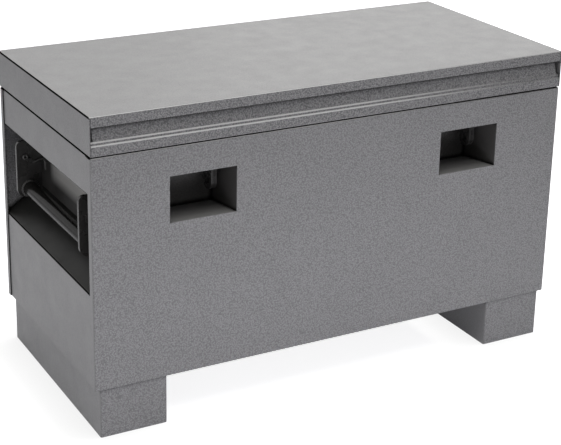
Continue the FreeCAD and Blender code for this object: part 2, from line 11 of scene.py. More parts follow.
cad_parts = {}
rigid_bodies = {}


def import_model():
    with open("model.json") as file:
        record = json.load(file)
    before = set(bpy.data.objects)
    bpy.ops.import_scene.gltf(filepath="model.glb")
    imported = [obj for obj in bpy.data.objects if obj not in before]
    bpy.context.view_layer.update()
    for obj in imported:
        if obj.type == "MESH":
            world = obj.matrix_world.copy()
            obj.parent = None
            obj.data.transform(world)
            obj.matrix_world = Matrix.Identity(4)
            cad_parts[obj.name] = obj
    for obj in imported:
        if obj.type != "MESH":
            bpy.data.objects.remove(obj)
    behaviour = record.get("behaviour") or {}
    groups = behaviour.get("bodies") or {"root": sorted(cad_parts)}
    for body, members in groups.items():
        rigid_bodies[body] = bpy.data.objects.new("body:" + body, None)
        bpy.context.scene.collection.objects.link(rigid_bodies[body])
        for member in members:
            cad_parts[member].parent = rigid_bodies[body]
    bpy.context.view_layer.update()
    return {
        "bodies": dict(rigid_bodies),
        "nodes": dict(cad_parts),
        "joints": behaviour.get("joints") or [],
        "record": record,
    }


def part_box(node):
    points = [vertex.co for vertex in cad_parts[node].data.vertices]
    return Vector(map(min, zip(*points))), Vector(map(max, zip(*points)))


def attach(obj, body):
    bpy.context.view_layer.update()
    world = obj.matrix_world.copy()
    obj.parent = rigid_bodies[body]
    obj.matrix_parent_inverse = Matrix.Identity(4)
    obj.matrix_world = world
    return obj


# Dress and light of a sheet-steel jobsite storage box. Metres, +Z up, -Y is the front.

LOG = logging.getLogger("storage_box")
MM = 0.001

Colour = tuple[float, float, float]
Span = tuple[float, float]
Faces = list[tuple[int, ...]]
Socket = bpy.types.NodeSocket
Value = float | Socket
Tint = Colour | Socket

WHITE = (1.0, 1.0, 1.0, 1.0)

# The part of a noise's range from 0 to 1 that holds most of its values.
NOISE_MIDDLE: Span = (0.3, 0.7)


class Axis(IntEnum):
    """The three axes: along the box to its right, across it to its rear, and up."""

    ALONG = 0
    ACROSS = 1
    UP = 2


class Body(str, Enum):
    """The rigid bodies that new pieces are fixed to."""

    BOX = "box"
    LEFT_HANDLE = "left_handle"
    RIGHT_HANDLE = "right_handle"


class Slot(str, Enum):
    """Names of material slots, passed along with new pieces."""

    HANDLE = "handle_paint"


class Side(Enum):
    """The two ends of the box."""

    LEFT = ("left", -1)
    RIGHT = ("right", 1)

    @property
    def word(self) -> str:
        """Name of the end, as the nodes spell it."""
        return self.value[0]

    @property
    def sign(self) -> int:
        """Direction of the end along X."""
        return self.value[1]


class Facing(Enum):
    """Front or rear half of the box."""

    FRONT = ("front", -1)
    REAR = ("rear", 1)

    @property
    def word(self) -> str:
        """Name of the half, as the nodes spell it."""
        return self.value[0]

    @property
    def sign(self) -> int:
        """Direction of the half along Y."""
        return self.value[1]


# ---------------------------------------------------------------- node graphs


@dataclass(frozen=True)
class Noise:
    """A soft random pattern, with the size of its features in metres."""

    size: float
    detail: float = 2.0
    rough: float = 0.5


class Graph:
    """A material's node tree, built one node at a time."""

    # Sockets that the Mix node uses when it mixes colours.
    COLOUR_INPUTS = (6, 7)
    COLOUR_OUTPUT = 2

    CELL_SMOOTHNESS = 0.6

    # Rays that look for walls close by, and the openness at which a crevice is full and gone.
    CREVICE_SAMPLES = 6
    CREVICE_OPENNESS: Span = (0.58, 0.92)

    # How softly a bend ends, and the share in its normals of the axis that it runs along at which
    # its mask is 0 and 1.
    BEND_BLUR = 0.06
    BEND_STRAY: Span = (0.30, 0.15)

    def __init__(self, name: str) -> None:
        """Start an empty material.

        Args:
            name: Name of the material.
        """
        self.material = bpy.data.materials.new(name)
        self.material.use_nodes = True
        self.nodes = self.material.node_tree.nodes
        self.links = self.material.node_tree.links
        self.nodes.clear()
        self.output = self.nodes.new("ShaderNodeOutputMaterial")

    def add(self, kind: str, inputs: dict[str | int, object] | None = None,
            **settings: object) -> bpy.types.Node:
        """Add a node and fill its sockets.

        Args:
            kind: Type of the node, without its ShaderNode prefix.
            inputs: Value, or socket to link, for each named or numbered input.
            **settings: Properties of the node.

        Returns:
            The new node.
        """
        node = self.nodes.new(f"ShaderNode{kind}")
        for key, value in settings.items():
            setattr(node, key, value)
        for key, value in (inputs or {}).items():
            if isinstance(value, Socket):
                self.links.new(value, node.inputs[key])
            else:
                node.inputs[key].default_value = value
        return node

    def math(self, operation: str, first: Value, second: Value = 0.0) -> Socket:
        """Socket of an arithmetic node on two values or sockets."""
        return self.add("Math", {0: first, 1: second}, operation=operation).outputs[0]

    def both(self, first: Value, second: Value) -> Socket:
        """Socket of two masks times each other."""
        return self.math("MULTIPLY", first, second)

    def either(self, first: Value, second: Value) -> Socket:
        """Socket of the stronger of two masks."""
        return self.math("MAXIMUM", first, second)

    def except_for(self, mask: Value) -> Socket:
        """Socket of 1 less a mask."""
        return self.math("SUBTRACT", 1.0, mask)

    def mix(self, factor: Value, first: Tint, second: Tint) -> Socket:
        """Socket of a colour mixed between two colours by a factor."""
        node = self.add("Mix", {0: factor}, data_type="RGBA")
        for index, value in zip(self.COLOUR_INPUTS, (first, second)):
            if isinstance(value, Socket):
                self.links.new(value, node.inputs[index])
            else:
                node.inputs[index].default_value = (*value, 1.0)
        return node.outputs[self.COLOUR_OUTPUT]

    def coordinate(self, kind: str) -> Socket:
        """Socket of one of the texture coordinates, such as Object or Normal."""
        return self.add("TexCoord").outputs[kind]

    def parts(self, kind: str) -> list[Socket]:
        """Sockets of the three parts of a texture coordinate, one for each axis."""
        return list(self.add("SeparateXYZ", {0: self.coordinate(kind)}).outputs)

    def noise(self, pattern: Noise) -> Socket:
        """Socket of a noise from 0 to 1 that is fixed to the object."""
        node = self.add("TexNoise", {"Vector": self.coordinate("Object"), "Scale": 1.0 / pattern.size,
                                     "Detail": pattern.detail, "Roughness": pattern.rough})
        return node.outputs["Fac"]

    def cells(self, size: float) -> Socket:
        """Socket of the smooth distance to the nearest of many points, a size apart in metres."""
        node = self.add("TexVoronoi", {"Vector": self.coordinate("Object"), "Scale": 1.0 / size,
                                       "Smoothness": self.CELL_SMOOTHNESS}, feature="SMOOTH_F1")
        return node.outputs["Distance"]

    def ramp(self, value: Value, low: float, high: float, start: Value = 0.0,
             end: Value = 1.0) -> Socket:
        """Socket of a value remapped from low..high to start..end, and held at both ends."""
        return self.add("MapRange", {0: value, 1: low, 2: high, 3: start, 4: end}).outputs[0]

    def crevice(self, reach: float) -> Socket:
        """Socket that is 1 deep in seams narrower than a reach in metres, and 0 in the open."""
        node = self.add("AmbientOcclusion", {"Distance": reach}, samples=self.CREVICE_SAMPLES)
        return self.ramp(node.outputs["AO"], *self.CREVICE_OPENNESS, 1.0, 0.0)

    def see_white(self, straight: Value, mirrored: Value) -> Socket:
        """Socket with one value where a surface is seen straight and another where it is mirrored.

        Args:
            straight: Value for camera and transmission rays.
            mirrored: Value for glossy rays.

        Returns:
            The socket, which is 0 for every other ray.
        """
        path = self.add("LightPath").outputs
        seen = self.either(path["Is Camera Ray"], path["Is Transmission Ray"])
        return self.either(self.both(seen, straight), self.both(path["Is Glossy Ray"], mirrored))

    def facing(self) -> list[Socket]:
        """Sizes, without their signs, of the three parts of the object's own normal."""
        return [self.math("ABSOLUTE", part) for part in self.parts("Normal")]

    def bend(self, run: Axis, steep: float = 0.2) -> Socket:
        """Socket that is 1 on the rounded bends that run along one of the axes.

        Args:
            run: Axis that the bends run along.
            steep: Least share of each of the other axes in the normals of the bend.

        Returns:
            The socket, which is 0 on the flat faces and on the other bends.
        """
        shares = self.facing()
        slanting = self.both(*(self.ramp(shares[axis], steep - self.BEND_BLUR, steep + self.BEND_BLUR)
                               for axis in Axis if axis is not run))
        return self.both(slanting, self.ramp(shares[run], *self.BEND_STRAY))

    def bump(self, height: Socket, depth: float, strength: float) -> Socket:
        """Socket of a normal from a height of 0 to 1 times a depth in metres."""
        node = self.add("Bump", {"Height": height, "Distance": depth, "Strength": strength})
        return node.outputs["Normal"]

    def finish(self, shader: bpy.types.Node) -> bpy.types.Material:
        """Link the last shader to the output and hand over the material."""
        self.links.new(shader.outputs[0], self.output.inputs["Surface"])
        return self.material


# ---------------------------------------------------------------- finishes


@dataclass(frozen=True)
class HammertonePaint:
    """Powder coat with a hammered grain, slightly uneven in tone, and painted shade in its seams.

    The grain is coarse and deep on the front and the rear, and faint on the top and the ends. Bends
    that run along the box carry a painted highlight on its left half, and bends across it carry
    painted shade.
    """

    name: str = "hammertone_paint"
    colour: Colour = (0.240, 0.238, 0.242)
    speck: Colour = (0.114, 0.113, 0.116)
    # Painted shade in seams, on bends across the box and along the ends of the lid's top.
    dirt: Colour = (0.010, 0.0095, 0.009)
    # Painted highlight on the bends along the box.
    bright: Colour = (0.60, 0.595, 0.60)

    # Grain: its two sizes and their shares of the height, its depth, the heights at which the speck's
    # colour begins and is full, and how much of it is left where the grain is faint.
    grain: float = 2.5 * MM
    grain_share: float = 0.7
    fine_grain: Noise = Noise(1.2 * MM, 3.0, 0.6)
    fine_share: float = 0.5
    depth: float = 1.0 * MM
    hollows: Span = (0.39, 0.75)
    speckled: float = 0.90
    faint: float = 0.25
    coarse_from: Span = (0.55, 0.75)

    # Tone and gloss, which is lower over the painted shade and on a smooth dark coat.
    clouds: Noise = Noise(90 * MM)
    cloudy: float = 0.03
    sheen: Noise = Noise(35 * MM, 3.0)
    roughness: Span = (0.36, 0.46)
    mirror: float = 0.5
    dull: float = 0.7

    # Painted shade in seams, on bends across the box and at the cut ends of the lid's top sheet: reach
    # of a seam, the heights at which seams start to take it, and the cut ends of the lid's top sheet.
    seam: float = 9.0 * MM
    off_floor: Span = (6 * MM, 12 * MM)
    sheet_end: float = 457.2 * MM
    sheet_underside: float = 557.3 * MM
    cut_edge: float = 0.5 * MM
    blur: float = 0.1 * MM

    # Painted highlight on bends along the box: its strength, the places along the box where it starts
    # to fade and ends, the least slant of a bend, and the upward share of the normals at which a
    # highlit bend keeps clear of the painted shade.
    wear: float = 0.8
    rubbed_to: float = 60 * MM
    sound_from: float = 400 * MM
    steep: float = 0.55
    upward: Span = (0.2, 0.4)

    def material(self) -> bpy.types.Material:
        """Build the material.

        Returns:
            The finished material.
        """
        return self.shade(Graph(self.name), self.colour, self.speck)

    def height(self, graph: Graph) -> Socket:
        """Height of the grain, from 0 to about 1."""
        coarse = graph.both(graph.cells(self.grain), self.grain_share)
        fine = graph.both(graph.noise(self.fine_grain), self.fine_share)
        return graph.math("ADD", coarse, fine)

    def tone(self, graph: Graph, height: Socket, coarse: Socket) -> Socket:
        """Share of the speck's colour in the coat.

        Args:
            graph: Graph of the material.
            height: Height of the grain.
            coarse: Strength of the grain.

        Returns:
            The share, a little over or under the grain's where the coat is cloudy.
        """
        hollow = graph.both(graph.ramp(height, *self.hollows), coarse)
        cloud = graph.ramp(graph.noise(self.clouds), *NOISE_MIDDLE, -self.cloudy, self.cloudy)
        return graph.math("ADD", graph.both(hollow, self.speckled), cloud)

    def rubbed(self, graph: Graph) -> Socket:
        """Mask of the painted highlight on the bends along the box."""
        place = graph.parts("Object")[Axis.ALONG]
        fading = graph.ramp(place, self.rubbed_to, self.sound_from, self.wear, 0.0)
        return graph.both(graph.bend(Axis.ALONG, self.steep), fading)

    def cut_ends(self, graph: Graph) -> Socket:
        """Mask of the painted shade along the cut edges at both ends of the lid's top sheet."""
        along, _, level = graph.parts("Object")
        start = self.sheet_end - self.cut_edge
        outside = graph.ramp(graph.math("ABSOLUTE", along), start - self.blur, start + self.blur)
        underside = self.sheet_underside
        return graph.both(outside, graph.ramp(level, underside - self.blur * 2, underside))

    def dirty(self, graph: Graph, rubbed: Socket, smooth: Value) -> Socket:
        """Mask of the painted shade.

        Args:
            graph: Graph of the material.
            rubbed: Mask of the painted highlight on bends, which keep clear of the painted shade where
                they look up.
            smooth: Value or socket that is 1 where the coat has no grain.

        Returns:
            The mask, 1 in seams, on bends across the box and on the cut ends of the lid's top.
        """
        level = graph.parts("Object")[Axis.UP]
        seams = graph.both(graph.crevice(self.seam), graph.ramp(level, *self.off_floor))
        bends = graph.both(graph.bend(Axis.ACROSS), graph.except_for(smooth))
        edges = graph.either(bends, self.cut_ends(graph))
        upward = graph.ramp(graph.parts("Normal")[Axis.UP], *self.upward)
        return graph.both(graph.either(seams, edges), graph.except_for(graph.both(rubbed, upward)))

    def shade(self, graph: Graph, colour: Tint, speck: Tint, smooth: Value = 0.0) -> bpy.types.Material:
        """Fill a graph with the coat's grain, tone and shader.

        Args:
            graph: Graph to fill.
            colour: Colour or socket of the coat.
            speck: Colour or socket in the grain's hollows.
            smooth: Value or socket that is 1 where the coat has no grain.

        Returns:
            The finished material.
        """
        height = self.height(graph)
        coarse = graph.ramp(graph.facing()[Axis.ACROSS], *self.coarse_from, self.faint, 1.0)
        coat = graph.mix(self.tone(graph, height, coarse), colour, speck)
        # Painted highlight on the bends along the box, and painted shade in seams and on bends across it.
        rubbed = self.rubbed(graph)
        dirty = self.dirty(graph, rubbed, smooth)
        matt = graph.either(dirty, graph.both(smooth, self.dull))
        relief = graph.both(height, graph.both(coarse, graph.except_for(smooth)))
        shader = graph.add("BsdfPrincipled", {
            "Base Color": graph.mix(dirty, graph.mix(rubbed, coat, self.bright), self.dirt),
            "Roughness": graph.ramp(graph.noise(self.sheen), *NOISE_MIDDLE, *self.roughness),
            "Normal": graph.bump(relief, self.depth, 1.0),
            "Specular IOR Level": graph.both(graph.except_for(matt), self.mirror),
        })
        return graph.finish(shader)


@dataclass(frozen=True)
class RecessedPaint(HammertonePaint):
    """The same coat on an end panel, smooth and dark inside the handle recess, with painted shade on its
    slope.

    A painted pool of light lightens the upper front of the recess's back wall.
    """

    name: str = "recess_paint"
    dark: Colour = (0.026, 0.025, 0.024)
    # Painted shade on the recess's slope.
    slope: Colour = (0.013, 0.0128, 0.0120)
    # Painted pool of light on the upper front of the recess's back wall.
    thin: Colour = (0.50, 0.495, 0.485)

    # The panel's face, the depth behind it where the dark colour begins, and the ends of the recess.
    face: float = 455.3 * MM
    rounding: Span = (1.76 * MM, 2.2 * MM)
    ceiling: float = 424.6 * MM
    lip: float = 253.0 * MM
    margin: float = 0.5 * MM
    back: float = 66 * MM
    slope_depth: float = 3 * MM

    # The painted pool of light on the back wall: its lowest level, how far it reaches to the rear,
    # and how softly it ends.
    thin_level: float = 328 * MM
    thin_reach: float = 150 * MM
    fade: float = 22 * MM

    def material(self) -> bpy.types.Material:
        """Build the material, dark where the surface lies behind the face of the panel.

        Returns:
            The finished material.
        """
        graph = Graph(self.name)
        along, rearward, level = graph.parts("Object")
        depth = graph.math("SUBTRACT", self.face, graph.math("ABSOLUTE", along))
        inside = self.inside(graph, depth, level)
        cover = self.cover(graph, depth, rearward, level)
        return self.shade(graph, graph.mix(inside, self.colour, cover),
                          graph.mix(inside, self.speck, cover), inside)

    def inside(self, graph: Graph, depth: Socket, level: Socket) -> Socket:
        """Mask of the recess.

        Args:
            graph: Graph of the material.
            depth: Depth behind the panel's face.
            level: Height above the floor.

        Returns:
            The mask.
        """
        behind = graph.ramp(depth, *self.rounding)
        low = graph.ramp(level, self.lip - self.margin * 2, self.lip - self.margin)
        high = graph.ramp(level, self.ceiling + self.margin * 2, self.ceiling + self.margin)
        return graph.both(behind, graph.both(low, high))

    def cover(self, graph: Graph, depth: Socket, rearward: Socket, level: Socket) -> Socket:
        """Dark colour of the recess, with painted shade on its slope and a painted pool of light on its
        back wall.

        Args:
            graph: Graph of the material.
            depth: Depth behind the panel's face.
            rearward: Place along the box's depth.
            level: Height above the floor.

        Returns:
            The colour.
        """
        soft = self.fade / 2
        # Painted pool of light on the upper front of the back wall.
        at_back = graph.ramp(depth, self.back, self.back + self.margin * 2)
        above = graph.ramp(level, self.thin_level - soft, self.thin_level + soft)
        ahead = graph.ramp(rearward, self.thin_reach + soft, self.thin_reach - soft)
        lit_patch = graph.both(at_back, graph.both(above, ahead))
        # Painted shade on the slope.
        sloping = graph.ramp(depth, self.slope_depth, self.slope_depth + self.margin * 2)
        tilted = graph.both(graph.bend(Axis.ACROSS), sloping)
        return graph.mix(lit_patch, graph.mix(tilted, self.dark, self.slope), self.thin)


@dataclass(frozen=True)
class PocketPaint(HammertonePaint):
    """A dark colour inside the lock pockets as painted shade, lighter on what faces up as painted light.
    """

    name: str = "pocket_paint"
    # Painted shade inside the pocket, and painted light on what faces up.
    colour: Colour = (0.080, 0.077, 0.075)
    speck: Colour = (0.055, 0.053, 0.052)
    dust: Colour = (0.225, 0.222, 0.220)
    dusty_from: Span = (0.85, 0.95)

    def material(self) -> bpy.types.Material:
        """Build the material.

        Returns:
            The finished material.
        """
        graph = Graph(self.name)
        lit_upward = graph.ramp(graph.facing()[Axis.UP], *self.dusty_from)
        return self.shade(graph, graph.mix(lit_upward, self.colour, self.dust),
                          graph.mix(lit_upward, self.speck, self.dust))


@dataclass(frozen=True)
class SatinPaint:
    """Smooth satin paint with faint orange peel, worn in patches."""

    name: str
    colour: Colour
    worn: Colour
    roughness: float
    mirror: float = 0.5
    unevenness: float = 0.12
    wear: Noise = Noise(14 * MM, 5.0, 0.7)
    worn_from: Span = (0.5, 0.75)
    sheen: Noise = Noise(22 * MM, 3.0)
    peel: Noise = Noise(3.0 * MM)
    peel_depth: float = 0.12 * MM
    peel_strength: float = 0.5

    def material(self) -> bpy.types.Material:
        """Build the material.

        Returns:
            The finished material.
        """
        graph = Graph(self.name)
        wear = graph.ramp(graph.noise(self.wear), *self.worn_from)
        shader = graph.add("BsdfPrincipled", {
            "Base Color": graph.mix(wear, self.colour, self.worn),
            "Roughness": graph.ramp(graph.noise(self.sheen), *NOISE_MIDDLE,
                                    self.roughness, self.roughness + self.unevenness),
            "Normal": graph.bump(graph.noise(self.peel), self.peel_depth, self.peel_strength),
            "Specular IOR Level": self.mirror,
        })
        return graph.finish(shader)


@dataclass(frozen=True)
class PlatedSteel:
    """Zinc-plated or ground steel with dull patches and fine scratches."""

    name: str
    colour: Colour
    dull: Colour
    roughness: float
    unevenness: float = 0.15
    patches: Noise = Noise(9 * MM, 4.0, 0.65)
    dull_from: Span = (0.35, 0.7)
    sheen: Noise = Noise(6 * MM, 3.0)
    scratches: Noise = Noise(0.5 * MM)
    scratch_depth: float = 0.03 * MM
    scratch_strength: float = 0.4

    def material(self) -> bpy.types.Material:
        """Build the material.

        Returns:
            The finished material.
        """
        graph = Graph(self.name)
        patch = graph.ramp(graph.noise(self.patches), *self.dull_from)
        shader = graph.add("BsdfPrincipled", {
            "Base Color": graph.mix(patch, self.colour, self.dull),
            "Roughness": graph.ramp(graph.noise(self.sheen), *NOISE_MIDDLE,
                                    self.roughness, self.roughness + self.unevenness),
            "Metallic": 1.0,
            "Normal": graph.bump(graph.noise(self.scratches), self.scratch_depth,
                                 self.scratch_strength),
        })
        return graph.finish(shader)


@dataclass(frozen=True)
class StudioFloor:
    """Pale matt floor, close to white where it is seen, with the box's soft shadow.

    Where the floor meets something that stands on it, the shadow is deeper. That part leans to the
    right, so it is widest on the floor to the left of what stands there.
    """

    name: str = "studio_floor"
    colour: Colour = (0.86, 0.86, 0.90)
    shadow: Colour = (0.03, 0.03, 0.03)
    glow: float = 0.83
    mirrored_glow: float = 0.20

    # Contact shadow: its reach, its lean to the right, the rays that look for it, the openness at
    # which it is deepest, and the openness up to which the floor has the shadow's colour.
    reach: float = 85 * MM
    lean: float = 0.8
    samples: int = 12
    least: float = 0.12
    most: float = 0.80

    def material(self) -> bpy.types.Material:
        """Build the material.

        Returns:
            The finished material.
        """
        graph = Graph(self.name)
        side = graph.add("CombineXYZ", {0: self.lean, 2: math.sqrt(1 - self.lean ** 2)}).outputs[0]
        contact = graph.add("AmbientOcclusion", {"Distance": self.reach, "Normal": side},
                            samples=self.samples).outputs["AO"]
        near = graph.both(graph.ramp(contact, self.most, 1.0, 1.0, 0.0),
                          graph.add("LightPath").outputs["Is Camera Ray"])
        fading = graph.ramp(contact, self.least, self.most, 0.0, 1.0 - self.glow)
        seen = graph.math("ADD", self.glow, graph.both(near, fading))
        matt = graph.add("BsdfDiffuse", {"Color": graph.mix(near, self.colour, self.shadow)})
        glow = graph.add("Emission", {"Color": WHITE,
                                      "Strength": graph.see_white(seen, self.mirrored_glow)})
        return graph.finish(graph.add("AddShader", {0: matt.outputs[0], 1: glow.outputs[0]}))


class Finishes:
    """Every finish of the box, made once."""

    def __init__(self) -> None:
        """Build the materials."""
        self.shell = HammertonePaint().material()
        self.lid = HammertonePaint("lid_paint", speck=(0.072, 0.071, 0.073)).material()
        self.recess = RecessedPaint().material()
        self.pocket = PocketPaint().material()
        self.grip = SatinPaint("grip_paint", (0.012, 0.0115, 0.011), (0.024, 0.023, 0.022),
                               roughness=0.14, mirror=0.12).material()
        self.handle = SatinPaint("handle_paint", (0.030, 0.029, 0.028), (0.044, 0.043, 0.041),
                                 roughness=0.22, mirror=0.35).material()
        self.wire = SatinPaint("painted_wire", (0.075, 0.073, 0.070), (0.130, 0.127, 0.122),
                               roughness=0.25).material()
        self.zinc = PlatedSteel("zinc_plate", (0.62, 0.61, 0.58), (0.38, 0.37, 0.35),
                                roughness=0.32).material()
        self.enamel = SatinPaint("black_enamel", (0.016, 0.016, 0.017), (0.03, 0.03, 0.03),
                                 roughness=0.18).material()
        self.chrome = PlatedSteel("hard_chrome", (0.78, 0.78, 0.77), (0.66, 0.66, 0.65),
                                  roughness=0.08).material()


# ---------------------------------------------------------------- mesh tools


def joint_place(frame: dict, name: str) -> Vector:
    """Point on the axis of one of the box's joints, in metres."""
    return Vector(next(joint["pos_m"] for joint in frame["joints"] if joint["name"] == name))


def make_object(name: str, vertices: Iterable[Sequence[float]], faces: Iterable[Sequence[int]],
                smooth: bool = True) -> bpy.types.Object:
    """Make a mesh object in the scene.

    Args:
        name: Name of the object.
        vertices: Corner points in metres.
        faces: Corner numbers of each face.
        smooth: Whether the faces are shaded smooth.

    Returns:
        The new object.
    """
    mesh = bpy.data.meshes.new(name)
    mesh.from_pydata([tuple(vertex) for vertex in vertices], [], [tuple(face) for face in faces])
    mesh.validate()
    mesh.polygons.foreach_set("use_smooth", [smooth] * len(mesh.polygons))
    made = bpy.data.objects.new(name, mesh)
    bpy.context.scene.collection.objects.link(made)
    return made


def sweep(path: Sequence[Vector], radius: Callable[[float], float], closed: bool,
          sides: int = 12) -> tuple[list[Vector], Faces]:
    """Sweep a round section along a path.

    Args:
        path: Points of the path.
        radius: Section radius at a share of the path from 0 to 1.
        closed: Whether the path is a loop.
        sides: Number of corners of the section.

    Returns:
        Vertices and faces of the tube, with capped ends when it is open.
    """
    count = len(path)
    vertices: list[Vector] = []
    faces: Faces = []
    normal = None
    for index, point in enumerate(path):
        before = path[(index - 1) % count] if closed or index else path[0]
        after = path[(index + 1) % count] if closed or index < count - 1 else path[-1]
        along = (after - before).normalized()
        if normal is None:
            normal = along.orthogonal().normalized()
        normal = (normal - along * normal.dot(along)).normalized()
        across = along.cross(normal)
        size = radius(index / max(count - 1, 1))
        for step in range(sides):
            angle = math.tau * step / sides
            vertices.append(point + (normal * math.cos(angle) + across * math.sin(angle)) * size)
    for ring in range(count if closed else count - 1):
        here, there = ring * sides, ((ring + 1) % count) * sides
        for step in range(sides):
            following = (step + 1) % sides
            faces.append((here + step, here + following, there + following, there + step))
    if not closed:
        faces.append(tuple(reversed(range(sides))))
        faces.append(tuple(range((count - 1) * sides, count * sides)))
    return vertices, faces


def arc(centre: Vector, radius: float, start: float, end: float, first: Vector, second: Vector,
        steps: int) -> list[Vector]:
    """Points along an arc.

    Args:
        centre: Centre of the arc.
        radius: Radius of the arc.
        start: First angle in degrees, from the first direction towards the second.
        end: Last angle in degrees.
        first: Unit direction of angle 0.
        second: Unit direction of angle 90.
        steps: Number of steps.

    Returns:
        The points, both ends included.
    """
    angles = [math.radians(start + (end - start) * step / steps) for step in range(steps + 1)]
    return [centre + (first * math.cos(angle) + second * math.sin(angle)) * radius for angle in angles]


def curve(points: Sequence[Vector], steps: int) -> list[Vector]:
    """Smooth curve through some points.

    Args:
        points: Points that the curve passes through.
        steps: Number of steps from each point to the next.

    Returns:
        The points of the curve, both ends included.
    """
    padded = [points[0] * 2 - points[1], *points, points[-1] * 2 - points[-2]]
    found = []
    for before, start, end, after in zip(padded, padded[1:], padded[2:], padded[3:]):
        for step in range(steps):
            share = step / steps
            found.append((start * 2 + (end - before) * share
                          + (before * 2 - start * 5 + end * 4 - after) * share ** 2
                          + (start * 3 - before - end * 3 + after) * share ** 3) / 2)
    return found + [points[-1]]


class Shop:
    """Adds pieces to the model: each gets its material and its body."""

    # Weld beads: distance between ripples and height of a ripple, as shares of the bead's radius.
    RIPPLE_PITCH = 1.1
    RIPPLE_HEIGHT = 0.13
    FEWEST_RIPPLES = 3
    BEAD_SIDES = 8

    def __init__(self, frame: dict, finishes: Finishes) -> None:
        """Keep what every sub-assembly needs.

        Args:
            frame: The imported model.
            finishes: Materials of the box.
        """
        self.frame = frame
        self.nodes = frame["nodes"]
        self.finishes = finishes

    def dress(self, node: str, material: bpy.types.Material) -> None:
        """Give a CAD node its finish."""
        for slot in self.nodes[node].material_slots:
            slot.material = material
        LOG.info("dressed %s with %s", node, material.name)

    def add(self, piece: bpy.types.Object, material: bpy.types.Material, body: Body, slot: Slot) -> None:
        """Finish a new piece and fix it to a body.

        Args:
            piece: The piece.
            material: Its finish.
            body: Body that the piece is fixed to.
            slot: Slot of the finish; not used.
        """
        piece.data.materials.append(material)
        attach(piece, body.value)
        LOG.info("added %s to %s", piece.name, body.value)

    def weld(self, name: str, rings: Iterable[Sequence[Vector]], size: float,
             material: bpy.types.Material, body: Body, slot: Slot) -> None:
        """Lay rippled weld beads round some rings, as one piece.

        Args:
            name: Name of the piece.
            rings: Points of each bead, which closes on itself.
            size: Radius of the bead.
            material: Finish of the bead.
            body: Body that the bead is on.
            slot: Slot of the finish.
        """
        vertices: list[Vector] = []
        faces: Faces = []
        for ring in rings:
            length = sum((after - before).length for before, after in zip(ring, ring[1:]))
            ripples = max(self.FEWEST_RIPPLES, round(length / (size * self.RIPPLE_PITCH)))
            bead_vertices, bead_faces = sweep(
                ring, lambda share: size * (1 + self.RIPPLE_HEIGHT * math.sin(math.tau * ripples * share)),
                True, self.BEAD_SIDES)
            offset = len(vertices)
            vertices += bead_vertices
            faces += [tuple(corner + offset for corner in face) for face in bead_faces]
        self.add(make_object(name, vertices, faces), material, body, slot)


# ---------------------------------------------------------------- sub-assemblies


@dataclass
class BodyShell:
    """Front, rear, ends and floor of the box, on its two skids."""

    shop: Shop

    def build(self) -> None:
        """Dress the sheets of the body."""
        finishes = self.shop.finishes
        for node in ("front_panel", "rear_panel", "floor_pan"):
            self.shop.dress(node, finishes.shell)
        for side in Side:
            self.shop.dress(f"{side.word}_skid", finishes.shell)
            self.shop.dress(f"{side.word}_end_panel", finishes.recess)


@dataclass
class PadlockPocket:
    """Pocket behind an opening of the front, with its staple and the lid's hasp."""

    shop: Shop
    side: Side

    def build(self) -> None:
        """Dress the pocket and its two lock plates."""
        self.shop.dress(f"{self.side.word}_lock_pocket", self.shop.finishes.pocket)
        for part in ("staple", "hasp"):
            self.shop.dress(f"{self.side.word}_{part}", self.shop.finishes.handle)


@dataclass
class Lid:
    """Stepped lid with its end caps and stiffener."""

    shop: Shop

    def build(self) -> None:
        """Dress the sheets of the lid."""
        for node in ("lid_skin", "lid_stiffener", "left_lid_cap", "right_lid_cap"):
            self.shop.dress(node, self.shop.finishes.lid)


@dataclass
class Hinge:
    """Continuous hinge along the rear."""

    shop: Shop

    def build(self) -> None:
        """Dress both leaves and the pin."""
        for node in ("hinge_body_leaf", "hinge_lid_leaf"):
            self.shop.dress(node, self.shop.finishes.shell)
        self.shop.dress("hinge_pin", self.shop.finishes.zinc)


